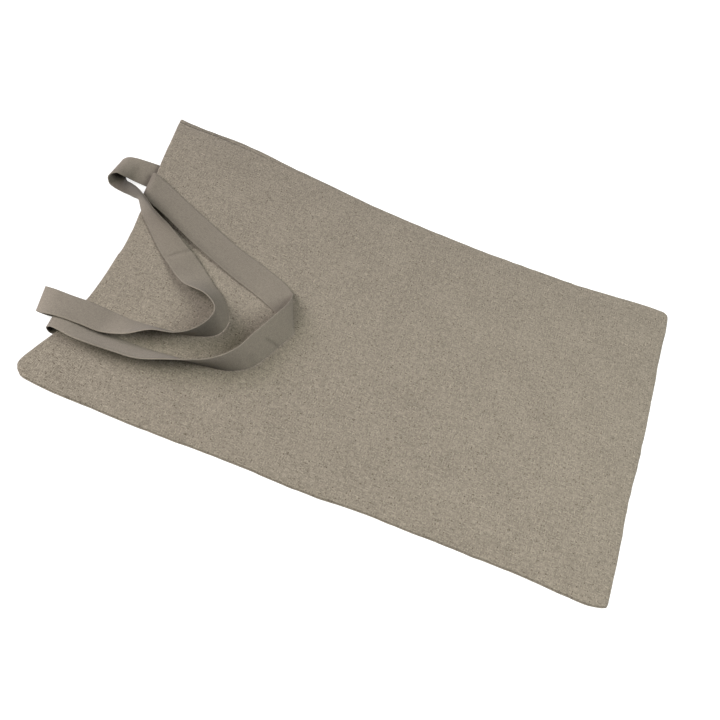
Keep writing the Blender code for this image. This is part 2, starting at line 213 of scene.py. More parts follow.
# Painted light and shade on the handles: faces that look into a fold are painted darker, as shade,
# and faces that lie open to the light are painted paler, as light.
# Side 0 is the upper face where the second edge lies to the left of the run of the rows;
# side 1 is the other face.
CREASE_FADE = 0.12              # share of the width over which a crease begins and ends
PAINTED_SHADE_SHARES = (0.0, 0.25, 0.75, 1.0)    # where across the width the four shades hold
FRONT_PAINTED_SHADES = (                 # columns: row, side, then the painted shade at each of those shares
    (12.5, 0, 1.00, 1.00, 1.00, 1.00), (13.5, 0, 1.14, 1.14, 1.14, 1.14),
    (17.0, 0, 1.10, 1.10, 1.10, 1.10), (20.0, 0, 1.12, 1.12, 1.12, 1.08),
    (21.5, 0, 1.12, 1.10, 0.95, 0.80), (22.5, 0, 1.12, 1.08, 0.80, 0.60),
    (23.5, 0, 1.05, 0.95, 0.60, 0.50), (24.6, 0, 0.90, 0.80, 0.60, 0.50),
    (30.0, 0, 1.00, 1.00, 1.00, 1.00), (31.0, 0, 0.45, 0.45, 0.50, 0.55),
    (34.5, 0, 0.45, 0.45, 0.50, 0.55), (35.0, 0, 1.00, 1.00, 1.00, 1.00),
    (3.5, 1, 1.00, 1.00, 1.00, 1.00), (4.5, 1, 1.00, 1.00, 1.00, 0.72),
    (7.0, 1, 1.00, 1.00, 1.00, 0.78), (10.0, 1, 1.00, 1.00, 1.00, 1.00),
    (24.0, 1, 1.00, 1.00, 1.00, 1.00), (24.8, 1, 1.20, 1.36, 1.36, 1.36),
    (26.8, 1, 1.12, 1.38, 1.38, 1.38), (28.0, 1, 1.05, 1.26, 1.26, 1.26),
    (28.8, 1, 1.16, 1.16, 1.16, 1.16), (30.5, 1, 1.16, 1.16, 1.16, 1.16),
    (32.0, 1, 1.00, 1.00, 1.00, 1.00),
)
BACK_PAINTED_SHADES = (
    (0.0, 0, 0.90, 0.80, 0.70, 0.60), (1.0, 0, 0.98, 0.88, 0.80, 0.66),
    (2.0, 0, 1.08, 1.10, 0.94, 0.76), (3.0, 0, 1.25, 1.20, 1.00, 0.82),
    (4.2, 0, 1.38, 1.24, 1.00, 0.95), (5.5, 0, 1.20, 1.20, 1.10, 1.05),
    (6.5, 0, 1.00, 1.00, 1.00, 1.00), (31.5, 0, 1.00, 1.00, 1.00, 1.00),
    (32.2, 0, 1.28, 1.28, 1.28, 1.28), (33.4, 0, 1.25, 1.25, 1.25, 1.25),
    (34.2, 0, 0.99, 0.99, 0.99, 0.99), (36.4, 0, 1.16, 1.16, 1.16, 1.16),
    (37.6, 0, 1.28, 1.28, 1.28, 1.28), (39.0, 0, 1.00, 1.00, 1.00, 1.00),
    (3.0, 1, 1.00, 1.00, 1.00, 1.00), (5.0, 1, 0.65, 0.65, 0.62, 0.60),
    (6.5, 1, 0.33, 0.42, 0.60, 0.68), (8.0, 1, 0.14, 0.22, 0.50, 0.70),
    (9.0, 1, 0.12, 0.24, 0.52, 0.75), (10.0, 1, 0.25, 0.45, 0.68, 0.80),
    (11.0, 1, 0.40, 0.56, 0.76, 0.90), (12.0, 1, 0.36, 0.60, 0.92, 1.00),
    (13.0, 1, 0.30, 0.80, 1.00, 1.00), (14.0, 1, 0.45, 0.95, 1.00, 1.00),
    (16.0, 1, 0.76, 0.94, 0.94, 0.94), (18.0, 1, 0.92, 0.93, 0.94, 0.95),
    (19.5, 1, 1.00, 1.00, 1.00, 1.00),
    (20.8, 1, 1.18, 1.18, 1.18, 1.18), (22.0, 1, 1.12, 1.12, 1.12, 1.12),
    (24.0, 1, 1.03, 1.03, 1.03, 1.03), (25.8, 1, 1.00, 1.00, 1.00, 1.00),
    (26.8, 1, 0.72, 0.75, 0.85, 0.95), (28.4, 1, 0.66, 0.68, 0.78, 0.88),
    (29.6, 1, 0.88, 0.90, 0.93, 0.96), (31.0, 1, 1.00, 1.00, 1.00, 1.00),
)

# ---- camera ----
CAMERA_PLACE = (4.2, -450.6, 680.5)     # millimetres in the bag's plan
CAMERA_HEADING = 1.01           # degrees to the left of the bag's cross direction
CAMERA_PITCH = 58.0             # degrees below the horizon
CAMERA_ROLL = 21.2              # degrees, right side low
CAMERA_LENS, CAMERA_FRAME = 46.87, 36.0     # focal length and width of the frame
CAMERA_NEAR, CAMERA_FAR = 0.01, 50.0    # metres

# ---- light ----
SURROUND = 0.10                 # even light from all round
LAMPS = (                       # columns: name, place in metres, side, watts, colour
    ("left_lamp", (-1.371, -0.242, 0.975), 0.8, 17.0, (1.04, 0.95, 1.06)),
    ("near_lamp", (-0.985, -0.690, 1.202), 0.8, 13.9, (1.02, 1.01, 0.86)),
    ("right_lamp", (0.540, -0.076, 0.778), 0.5, 7.7, (1.00, 1.01, 0.96)),
)
FLOOR_GREY, FLOOR_GLOW = 0.45, 0.75     # a white table lit from below
FLOOR_REACH, FLOOR_LEVEL = 4.0, -0.0002     # metres


# ======== curves and outlines ========

def smooth_slopes(stations, values):
    """Slope of a smooth curve at each of its stations."""
    spans = np.diff(stations)
    chords = np.diff(values, axis=0) / spans[:, None]
    slopes = np.empty_like(values)
    slopes[0], slopes[-1] = chords[0], chords[-1]
    before, after = spans[:-1, None], spans[1:, None]
    slopes[1:-1] = (chords[:-1] * after + chords[1:] * before) / (before + after)
    return slopes


def smooth_curve(stations, values, places):
    """Values of the smooth curve through the stations, read at other places."""
    stations, values = np.asarray(stations, float), np.asarray(values, float)
    slopes = smooth_slopes(stations, values)
    left = np.clip(np.searchsorted(stations, places) - 1, 0, len(stations) - 2)
    span = (stations[left + 1] - stations[left])[:, None]
    t = (np.asarray(places)[:, None] - stations[left][:, None]) / span
    return ((1 + 2 * t) * (1 - t) ** 2 * values[left] + t * (1 - t) ** 2 * span * slopes[left]
            + t * t * (3 - 2 * t) * values[left + 1] + t * t * (t - 1) * span * slopes[left + 1])


def edge_curve(rows, places):
    """Read an outline edge: the second column as a smooth function of the first."""
    table = np.array(rows)
    places = np.clip(places, table[0, 0], table[-1, 0])
    return smooth_curve(table[:, 0], table[:, 1:], places)[:, 0]


def ease(t):
    """Soft step from 0 to 1."""
    t = np.clip(t, 0.0, 1.0)
    return t * t * (3.0 - 2.0 * t)


NOISE_CELLS = 64                # cells of the unevenness before it repeats
NOISE_SHIFT = 10.0 * NOISE_CELLS        # keeps every place on the positive side


def soft_noise(x, y, size, seed):
    """Smooth unevenness between -1 and 1 whose hollows are about the given size."""
    lattice = np.random.default_rng(seed).uniform(-1.0, 1.0, (NOISE_CELLS, NOISE_CELLS))
    u, v = np.asarray(x) / size + NOISE_SHIFT, np.asarray(y) / size + NOISE_SHIFT
    i, j = np.floor(u).astype(int), np.floor(v).astype(int)
    along, across = ease(u - i), ease(v - j)
    next_i, next_j = (i + 1) % NOISE_CELLS, (j + 1) % NOISE_CELLS
    i, j = i % NOISE_CELLS, j % NOISE_CELLS
    low = lattice[i, j] * (1.0 - along) + lattice[next_i, j] * along
    high = lattice[i, next_j] * (1.0 - along) + lattice[next_i, next_j] * along
    return low * (1.0 - across) + high * across


def wobble(places, seed):
    """How far a turned edge wanders from its run."""
    return EDGE_WOBBLE * sum(share * soft_noise(places, 0.0 * places, length, seed + k)
                             for k, (length, share) in enumerate(EDGE_WAVES))


def shoulder(distance):
    """Rise of the upper panel at a distance from a seam, from 0 to 1."""
    return 1.0 - (1.0 - np.clip(distance / SHOULDER, 0.0, 1.0)) ** 2


def panel_rise(x, y):
    """Share of the full rise of the upper panel, 0 at the three seams."""
    far = edge_curve(FAR_EDGE, x) - y
    near = y - edge_curve(NEAR_EDGE, x)
    return shoulder(far) * shoulder(near) * shoulder(CLOSED_X - x)


def panel_gap(x, y):
    """Clear height between the two panels."""
    at_mouth = ease(1.0 - (x - MOUTH_X) / MOUTH_REACH)
    return PIECE_GAP + (CROWN_GAP + MOUTH_GAP * at_mouth) * panel_rise(x, y)


def to_world(points):
    """Millimetres in the bag's plan to metres about the part's origin."""
    return (np.asarray(points) - np.array([CENTRE_X, CENTRE_Y, 0.0])) * MM


# ======== sheets of cloth ========

RIM_ROUNDING = (0.22, 0.70)     # share of the thickness at the rim and at the next row
RIM_ROW = 0.4                   # where that next row lies, as a share of the rim's width


def rim_shares(cells, rim):
    """Shares from 0 to 1 with two close rows at each end, where the rim is rounded."""
    inner = np.linspace(rim, 1.0 - rim, cells - 3)
    return np.concatenate([[0.0, rim * RIM_ROW], inner, [1.0 - rim * RIM_ROW, 1.0]])


def rim_thickness(shape):
    """Share of the thickness at each point of a grid, less on its two outer rows."""
    share = np.ones(shape)
    for depth, value in reversed(list(enumerate(RIM_ROUNDING))):
        for line in (depth, -1 - depth):
            share[line, :] = np.minimum(share[line, :], value)
            share[:, line] = np.minimum(share[:, line], value)
    return share


def sheet_object(name, upper, lower, flat, material, shade=None):
    """One closed sheet between two grids of points, [along, across, xyz], in millimetres.

    flat gives each point's place on the cloth as it was cut, in millimetres. It becomes the
    sheet's UV map, in metres. shade is painted light and shade: it darkens or lightens the two
    sides, 1 being the plain cloth.
    """
    rows, columns = upper.shape[:2]
    count = rows * columns
    points = to_world(np.concatenate([upper.reshape(-1, 3), lower.reshape(-1, 3)]))
    i, j = np.meshgrid(np.arange(rows - 1), np.arange(columns - 1), indexing="ij")
    a = (i * columns + j).ravel()
    b, c, d = a + columns, a + columns + 1, a + 1
    over = np.column_stack([a, b, c, d])
    under = np.column_stack([a, d, c, b]) + count
    rim = [k * columns for k in range(rows)]
    rim += [(rows - 1) * columns + k for k in range(1, columns)]
    rim += [k * columns + columns - 1 for k in range(rows - 2, -1, -1)]
    rim += list(range(columns - 2, 0, -1))
    start = np.array(rim)
    end = np.roll(start, -1)
    side = np.column_stack([end, start, start + count, end + count])
    faces = np.concatenate([over, under, side])
    mesh = bpy.data.meshes.new(name)
    mesh.from_pydata(points.tolist(), [], faces.tolist())
    places = np.tile(flat.reshape(-1, 2), (2, 1)) * MM
    uv_map = mesh.uv_layers.new(name="cloth")
    uv_map.uv.foreach_set("vector", places[faces.ravel()].astype(np.float32).ravel())
    # painted light and shade for every point, 1 where none is painted
    painted_shades = np.ones(2 * count, np.float32) if shade is None else np.ravel(shade).astype(np.float32)
    mesh.attributes.new("shade", "FLOAT", "POINT").data.foreach_set("value", painted_shades)
    mesh.materials.append(material)
    mesh.shade_smooth()
    sheet = bpy.data.objects.new(name, mesh)
    bpy.context.scene.collection.objects.link(sheet)
    return sheet


PANEL_RIM = (0.0022, 0.0036)    # shares of the length and width taken by the rounded rim
OUTLINE_ROUNDS = 5              # times the grid is fitted between its four curved edges
LOWER_CELLS, UPPER_CELLS, SEAM_CELLS = (150, 90), (230, 144), (120, 72)
FINE_ROWS = (0.4, 8.0, 310.0)   # step and reach of the close rows at the groove, panel width


def panel_points(cells, inset, fine=()):
    """A panel's grid, [along, across], as x and y in millimetres.

    inset is how many seam steps it lies inside the outline. fine lists more shares of the way
    across at which there is a row.
    """
    rows = np.unique(np.concatenate([rim_shares(cells[1], PANEL_RIM[1]), fine]))
    along, across = np.meshgrid(rim_shares(cells[0], PANEL_RIM[0]), rows, indexing="ij")
    along, across = along.ravel(), across.ravel()
    x = MOUTH_X + (CLOSED_X - MOUTH_X) * along
    for _ in range(OUTLINE_ROUNDS):
        far_step = SEAM_STEP + (FAR_STEP - SEAM_STEP) * ease((FAR_STEP_END - x) / FAR_STEP_FADE)
        low = edge_curve(NEAR_EDGE, x) + SEAM_STEP * inset + wobble(x, NEAR_SEED)
        high = edge_curve(FAR_EDGE, x) - far_step * inset + wobble(x, FAR_SEED)
        y = low + (high - low) * across
        start = edge_curve(MOUTH_EDGE, y) + wobble(y, MOUTH_SEED)
        end = edge_curve(CLOSED_EDGE, y) - SEAM_STEP * inset + wobble(y, CLOSED_SEED)
        x = start + (end - start) * along
    return np.column_stack([x, y]).reshape(-1, len(rows), 2)


def round_corners(grid):
    """Pull the two corners of the closed end and the near corner of the mouth inwards."""
    for end_along, end_across, radius in CORNERS:
        corner = grid[end_along, end_across].copy()
        inward_x = -np.sign(corner[0])
        inward_y = -np.sign(corner[1])
        centre = corner + radius * np.array([inward_x, inward_y])
        offset = grid - centre
        beyond_x = np.maximum(-offset[..., 0] * inward_x, 0.0)
        beyond_y = np.maximum(-offset[..., 1] * inward_y, 0.0)
        square = np.maximum(beyond_x, beyond_y)
        reach = np.hypot(beyond_x, beyond_y)
        inside = (beyond_x > 0) & (beyond_y > 0)
        shrink = np.where(inside, square / np.maximum(reach, 1e-9), 1.0)
        grid[..., 0] = np.where(inside, centre[0] + offset[..., 0] * shrink, grid[..., 0])
        grid[..., 1] = np.where(inside, centre[1] + offset[..., 1] * shrink, grid[..., 1])
    return grid


def thick_panel(name, grid, middle, thickness, material, shade=None):
    """A panel with the given height of its middle layer, and its rim rounded."""
    half = 0.5 * thickness * rim_thickness(grid.shape[:2])
    return sheet_object(name, np.dstack([grid, middle + half]), np.dstack([grid, middle - half]),
                        grid, material, shade)


def make_lower_panel(material):
    """The panel that lies on the table."""
    grid = round_corners(panel_points(LOWER_CELLS, 0.0))
    middle = np.full(grid.shape[:2], LINEN_THICK / 2.0)
    return thick_panel("lower_linen_panel", grid, middle, LINEN_THICK, material)


def seam_groove(x, y):
    """Depth of the pressed groove beside the far seam, and the painted shade and highlight along
    it.
    """
    places, distance, strength, outer = np.array(GROOVE).T
    inward = edge_curve(FAR_EDGE, x) - y - np.interp(x, places, distance)
    uneven = soft_noise(x, 0.0 * x, GROOVE_WAVE, GROOVE_SEED)
    strength = np.interp(x, places, strength) * (1.0 - GROOVE_UNEVEN + GROOVE_UNEVEN * uneven)
    trough = np.exp(-(inward / GROOVE_HALF) ** 2) * strength
    from_lip = (inward - LIP_PLACE * GROOVE_HALF) / (LIP_HALF * GROOVE_HALF)
    lip = np.exp(-from_lip ** 2) * strength
    # painted shade on the strip outside the groove, painted shadow in the groove, and a painted
    # highlight on its lip
    strip = 1.0 + (np.interp(x, places, outer) - 1.0) * ease(0.5 - inward / GROOVE_HALF)
    return GROOVE_DEPTH * trough, strip * (1.0 - GROOVE_PAINTED_SHADOW * trough + LIP_PAINTED_HIGHLIGHT * lip)


def make_upper_panel(material):
    """The panel above it, with soft hollows in its crown."""
    step, reach, width = FINE_ROWS
    fine = 1.0 - np.arange(step, reach, step) / width
    grid = round_corners(panel_points(UPPER_CELLS, 1.0, fine))
    x, y = grid[..., 0].ravel(), grid[..., 1].ravel()
    hollows = sum(share * soft_noise(x, y, size, seed) for size, share, seed in HOLLOW_WAVES)
    hollows = hollows * 0.5 + 0.5
    # the groove's depth, and its painted shadow and highlight
    depth, shade = seam_groove(x, y)
    # height of the middle of the upper layer
    height = LINEN_THICK * 1.5 + panel_gap(x, y) - CLOTH_RELIEF * hollows * panel_rise(x, y)
    height -= np.minimum(depth, panel_gap(x, y) - PIECE_GAP)
    return thick_panel("upper_linen_panel", grid, height.reshape(grid.shape[:2]), LINEN_THICK,
                       material, [shade, np.ones_like(shade)])


TAPE_STEP = 1.5                 # length of one facet along a tape
TAPE_CELLS = 20                 # rows of points across it
TAPE_RIM = 0.010                # share of the width taken by the rounded rim
HIGHLIGHT_REACH = 1.6 * SELVEDGE_WIDTH       # how far in from an edge the painted highlight of the selvedge reaches


def tape_sections(rows):
    """The two edges of a tape, read every few millimetres from the smooth curve."""
    table = np.array(rows)
    middle = (table[:, :3] + table[:, 3:]) / 2.0
    stations = np.concatenate([[0.0], np.cumsum(np.linalg.norm(np.diff(middle, axis=0), axis=1))])
    places = np.linspace(0.0, stations[-1], int(stations[-1] / TAPE_STEP) + 1)
    dense = smooth_curve(stations, table, places)
    return dense[:, :3], dense[:, 3:], places, np.interp(places, stations, np.arange(len(rows)))


def tape_marks(places, numbers, share, creases, painted_shades):
    """How far the creases move a tape along its normal, and the shade of its two sides."""
    move = np.zeros((len(places), len(share)))
    shade = np.ones((2, len(places), len(share)))
    # the last column of a crease is painted shade: below 1 a shadow in the crease, above 1 light
    # beside it
    for row, slant, half_width, start, end, depth, tone in creases:
        centre = np.interp(row, numbers, places) + slant * (share[None, :] - 0.5)
        line = np.exp(-((places[:, None] - centre) / half_width) ** 2)
        line = line * ease((share - start) / CREASE_FADE) * ease((end - share) / CREASE_FADE + 0.5)
        move += depth * line
        shade *= 1.0 + (tone - 1.0) * line
    # painted shade in the folds and painted light on the open faces, read from the tables
    for side in (0, 1):
        table = np.array([line for line in painted_shades if line[1] == side])
        along = [np.interp(numbers, table[:, 0], column) for column in table[:, 2:].T]
        shade[side] *= [np.interp(share, PAINTED_SHADE_SHARES, four) for four in np.array(along).T]
    # painted highlight along both edges of the tape
    edge = 1.0 - ease(TAPE_WIDTH * np.minimum(share, 1.0 - share) / HIGHLIGHT_REACH)
    return move, shade * (1.0 + SELVEDGE_HIGHLIGHT * edge)


def make_tape(name, rows, creases, painted_shades, material):
    """A flat tape with a firm selvedge along both edges."""
    first, second, places, numbers = tape_sections(rows)
    share = rim_shares(TAPE_CELLS, TAPE_RIM)
    spread = share[None, :, None]
    middle = first[:, None] * (1.0 - spread) + second[:, None] * spread
    along = np.gradient(middle, axis=0)
    across = np.repeat((second - first)[:, None], len(share), axis=1)
    outward = np.cross(along, across)
    outward /= np.linalg.norm(outward, axis=2, keepdims=True)
    from_edge = TAPE_WIDTH * np.minimum(share, 1.0 - share)
    selvedge = 1.0 - ease((from_edge - SELVEDGE_WIDTH * 0.5) / SELVEDGE_WIDTH)
    thick = TAPE_THICK + (SELVEDGE_THICK - TAPE_THICK) * selvedge
    half = 0.5 * thick[None, :] * rim_thickness(middle.shape[:2])
    move, shade = tape_marks(places, numbers, share, creases, painted_shades)
    middle = middle + outward * move[..., None]
    flat = np.dstack(np.meshgrid(places, share * TAPE_WIDTH, indexing="ij"))
    offset = outward * half[..., None]
    return sheet_object(name, middle + offset, middle - offset, flat, material, shade)


# ======== shader helpers ========

def node(tree, kind, inputs=(), **settings):
    """A node with its settings; each input is a value or another node's output."""
    made = tree.nodes.new(kind)
    for name, value in settings.items():
        setattr(made, name, value)
    for name, value in dict(inputs).items():
        if isinstance(value, bpy.types.NodeSocket):
            tree.links.new(value, made.inputs[name])
        else:
            made.inputs[name].default_value = value
    return made


def reckon(tree, operation, *values):
    """The result of one arithmetic node."""
    return node(tree, "ShaderNodeMath", enumerate(values), operation=operation).outputs[0]


def blend(tree, share, first, second):
    """A number between two others."""
    made = node(tree, "ShaderNodeMix", {0: share, 2: first, 3: second}, data_type="FLOAT")
    return made.outputs[0]


def tint(tree, share, first, second):
    """A colour between two others."""
    made = node(tree, "ShaderNodeMix", {0: share, 6: first, 7: second}, data_type="RGBA")
    return made.outputs[2]


def graded(tree, value, low, high):
    """Soft step of a value between two limits."""
    made = node(tree, "ShaderNodeMapRange", {0: value, 1: low, 2: high},
                interpolation_type="SMOOTHSTEP")
    return made.outputs[0]


def mottle(tree, place, size, detail=2.0, turns="2D"):
    """Noise from 0 to 1 whose spots are about the given size, in metres."""
    made = node(tree, "ShaderNodeTexNoise", {"Vector": place, "Scale": 1.0 / size,
                                             "Detail": detail, "Roughness": 0.55},
                noise_dimensions=turns)
    return made.outputs["Fac"]


def group_of(name, sockets):
    """An empty shader node group with its inputs and outputs."""
    tree = bpy.data.node_groups.new(name, "ShaderNodeTree")
    for way, kind, labels in sockets:
        for label in labels:
            tree.interface.new_socket(label, in_out=way, socket_type="NodeSocket" + kind)
    return tree


DRIFT_SCALE = 90.0              # how often the threads wander, per metre
THREAD_HEIGHT = (0.45, 0.55)    # rise and least height of a thread where it passes over
THREAD_STEP = 0.83              # how much the tone changes from one thread to the next
TONE_RUNS = ((11.3, 0.30), (57.9, 0.24))        # warp and weft: shift, change along a thread
STRAW_RUNS = ((203.1, 0.42), (301.7, 0.33))     # the same for the bits of straw
STRAW_LIMITS = (0.66, 0.76)     # tone at which straw begins, and is full
CLOUD_SIZES = ((0.009, 2.0), (0.034, 1.0))      # metres, detail
CLOUD_SHARE = 0.12
GAP_COLOUR = (0.03, 0.022, 0.015, 1.0)


def plain_weave_group():
    """Colour and relief of a plain weave, thread by thread."""
    tree = group_of("plain_weave", (
        ("INPUT", "Vector", ("Place",)),
        ("INPUT", "Float", ("Thread Pitch", "Unevenness", "Slub Contrast", "Fleck Amount",
                            "Gap Darkness")),
        ("INPUT", "Color", ("Pale Thread", "Dark Thread", "Fleck")),
        ("OUTPUT", "Color", ("Colour",)),
        ("OUTPUT", "Float", ("Relief", "Roughness")),
    ))
    given = tree.nodes.new("NodeGroupInput").outputs
    place, pitch = given["Place"], given["Thread Pitch"]
    calc = functools.partial(reckon, tree)
    # the threads wander, more over a long run than over a short one
    drift = node(tree, "ShaderNodeTexNoise",
                 {"Vector": place, "Scale": DRIFT_SCALE, "Detail": 3.0},
                 noise_dimensions="2D").outputs["Color"]
    centred = node(tree, "ShaderNodeVectorMath", {0: drift, 1: (0.5, 0.5, 0.5)},
                   operation="SUBTRACT").outputs[0]
    reach = calc("MULTIPLY", given["Unevenness"], pitch)
    wander = node(tree, "ShaderNodeVectorMath", {0: centred, "Scale": reach},
                  operation="SCALE").outputs[0]
    moved = node(tree, "ShaderNodeVectorMath", {0: place, 1: wander}, operation="ADD").outputs[0]
    axes = node(tree, "ShaderNodeSeparateXYZ", {0: moved}).outputs
    warp, weft = calc("DIVIDE", axes[0], pitch), calc("DIVIDE", axes[1], pitch)
    warp_number, weft_number = calc("FLOOR", warp), calc("FLOOR", weft)
    weft_on_top = calc("FLOORED_MODULO", calc("ADD", warp_number, weft_number), 2.0)

    def roundness(run):
        return calc("SINE", calc("MULTIPLY", calc("FRACT", run), math.pi))

    def rise(own, crossed):
        return calc("MULTIPLY", own, calc("MULTIPLY_ADD", crossed, *THREAD_HEIGHT))

    def thread_tone(number, run, shift, stretch):
        spot = node(tree, "ShaderNodeCombineXYZ",
                    {0: calc("MULTIPLY_ADD", number, THREAD_STEP, shift),
                     1: calc("MULTIPLY", run, stretch)}).outputs[0]
        return node(tree, "ShaderNodeTexNoise", {"Vector": spot, "Scale": 1.0, "Detail": 2.0},
                    noise_dimensions="2D").outputs["Fac"]

    def upper_thread_tone(runs):
        return blend(tree, weft_on_top, thread_tone(warp_number, weft, *runs[0]),
                     thread_tone(weft_number, warp, *runs[1]))

    warp_round, weft_round = roundness(warp), roundness(weft)
    relief = blend(tree, weft_on_top, rise(warp_round, weft_round), rise(weft_round, warp_round))
    clouds = calc("ADD", *(mottle(tree, place, size, detail) for size, detail in CLOUD_SIZES))
    level = calc("ADD", calc("SUBTRACT", upper_thread_tone(TONE_RUNS), 0.5),
                 calc("MULTIPLY", calc("SUBTRACT", clouds, 1.0), CLOUD_SHARE))
    share = calc("MULTIPLY_ADD", level, calc("MULTIPLY", given["Slub Contrast"], 4.0), 0.5)
    share = node(tree, "ShaderNodeClamp", {0: share}).outputs[0]
    colour = tint(tree, share, given["Dark Thread"], given["Pale Thread"])
    # short dark bits of straw spun into single threads
    bit = graded(tree, upper_thread_tone(STRAW_RUNS), *STRAW_LIMITS)
    colour = tint(tree, calc("MULTIPLY", bit, given["Fleck Amount"]), colour, given["Fleck"])
    hollow = calc("MULTIPLY", calc("SUBTRACT", 1.0, relief), given["Gap Darkness"])
    colour = tint(tree, hollow, colour, GAP_COLOUR)
    out = tree.nodes.new("NodeGroupOutput").inputs
    tree.links.new(colour, out["Colour"])
    tree.links.new(calc("MULTIPLY_ADD", share, 0.5, relief), out["Relief"])
    tree.links.new(calc("MULTIPLY_ADD", relief, -0.08, 0.95), out["Roughness"])
    return tree


def new_material(name):
    """An empty material: its tree, its shader and its output."""
    material = bpy.data.materials.new(name)
    material.use_nodes = True
    tree = material.node_tree
    tree.nodes.clear()
    shader = tree.nodes.new("ShaderNodeBsdfPrincipled")
    out = tree.nodes.new("ShaderNodeOutputMaterial")
    tree.links.new(shader.outputs[0], out.inputs["Surface"])
    return material, tree, shader


def woven_material(name, weave, values, bump, sheen):
    """A cloth made of the shared weave, with its own thread and colours."""
    material, tree, shader = new_material(name)
    place = node(tree, "ShaderNodeUVMap", uv_map="cloth").outputs[0]
    cloth = node(tree, "ShaderNodeGroup", node_tree=weave)
    tree.links.new(place, cloth.inputs["Place"])
    for label, value in values.items():
        cloth.inputs[label].default_value = value
    # painted light and shade, kept on each sheet, darken or lighten the cloth's colour
    shade = node(tree, "ShaderNodeAttribute", attribute_name="shade").outputs["Fac"]
    painted_shade_colour = node(tree, "ShaderNodeVectorMath", {0: cloth.outputs["Colour"], "Scale": shade},
                 operation="SCALE").outputs[0]
    tree.links.new(painted_shade_colour, shader.inputs["Base Color"])
    tree.links.new(cloth.outputs["Roughness"], shader.inputs["Roughness"])
    raised = node(tree, "ShaderNodeBump", {"Strength": 1.0, "Distance": bump * MM,
                                           "Height": cloth.outputs["Relief"]})
    tree.links.new(raised.outputs[0], shader.inputs["Normal"])
    shader.inputs["Sheen Weight"].default_value = sheen
    shader.inputs["Sheen Roughness"].default_value = 0.6
    shader.inputs["Specular IOR Level"].default_value = 0.15
    return material


SPOT_SIZE, SPOT_SHADE = 0.004, 0.75     # mottle of thread and straw: metres, shade


def plain_material(name, colour, roughness):
    """A matt finish with a slight mottle."""
    material, tree, shader = new_material(name)
    place = node(tree, "ShaderNodeTexCoord").outputs["Object"]
    spots = mottle(tree, place, SPOT_SIZE, 2.0, "3D")
    darker = tuple(SPOT_SHADE * part for part in colour)
    tree.links.new(tint(tree, spots, (*darker, 1.0), (*colour, 1.0)), shader.inputs["Base Color"])
    shader.inputs["Roughness"].default_value = roughness
    return material


# ======== rows of stitches and slubs, grown by geometry nodes ========

def growth_tree(name, sockets):
    """A geometry node tree with named inputs; gives the tree, its inputs and its output."""
    tree = bpy.data.node_groups.new(name, "GeometryNodeTree")
    tree.interface.new_socket("Geometry", in_out="INPUT", socket_type="NodeSocketGeometry")
    for kind, label in sockets:
        tree.interface.new_socket(label, in_out="INPUT", socket_type="NodeSocket" + kind)
    tree.interface.new_socket("Geometry", in_out="OUTPUT", socket_type="NodeSocketGeometry")
    return tree, tree.nodes.new("NodeGroupInput").outputs, tree.nodes.new("NodeGroupOutput")


def finish_growth(tree, points, shape, turn, size, finish, out):
    """Sets the shape on every point, makes it real and gives it its material."""
    placed = node(tree, "GeometryNodeInstanceOnPoints", {"Points": points, "Instance": shape,
                                                         "Rotation": turn, "Scale": size})
    real = node(tree, "GeometryNodeRealizeInstances", {0: placed.outputs[0]})
    round_off = node(tree, "GeometryNodeSetShadeSmooth", {0: real.outputs[0]})
    dressed = node(tree, "GeometryNodeSetMaterial", {0: round_off.outputs[0], "Material": finish})
    tree.links.new(dressed.outputs[0], out.inputs[0])


def stitch_tree():
    """Short stitches of thread set along a path."""
    tree, given, out = growth_tree("row_of_stitches", (
        ("Float", "Spacing"), ("Float", "Stitch Length"), ("Float", "Thread Radius"),
        ("Float", "Bulge"), ("Material", "Thread")))
    path = node(tree, "GeometryNodeMeshToCurve", {0: given["Geometry"]})
    points = node(tree, "GeometryNodeCurveToPoints", {"Curve": path.outputs[0],
                                                      "Length": given["Spacing"]}, mode="LENGTH")
    half = reckon(tree, "MULTIPLY", given["Stitch Length"], 0.5)
    low = node(tree, "ShaderNodeCombineXYZ", {2: reckon(tree, "MULTIPLY", half, -1.0)}).outputs[0]
    high = node(tree, "ShaderNodeCombineXYZ", {2: half}).outputs[0]
    middle = node(tree, "ShaderNodeCombineXYZ", {0: given["Bulge"]}).outputs[0]
    bow = node(tree, "GeometryNodeCurveQuadraticBezier", {"Resolution": 4, "Start": low,
                                                          "Middle": middle, "End": high})
    ring = node(tree, "GeometryNodeCurvePrimitiveCircle", {"Resolution": 6,
                                                           "Radius": given["Thread Radius"]})
    thread = node(tree, "GeometryNodeCurveToMesh", {"Curve": bow.outputs[0],
                                                    "Profile Curve": ring.outputs[0],
                                                    "Fill Caps": True})
    finish_growth(tree, points.outputs["Points"], thread.outputs[0], points.outputs["Rotation"],
                  (1.0, 1.0, 1.0), given["Thread"], out)
    return tree


SLUB_UPWARD = 0.9               # slubs grow where the cloth faces up at least this much
SLUB_TURN = 0.10                # how far a slub is turned from its thread, in radians
SLUB_LENGTHS, SLUB_WIDTHS = (0.45, 1.6), (0.7, 1.2)     # shares of the plain length and width


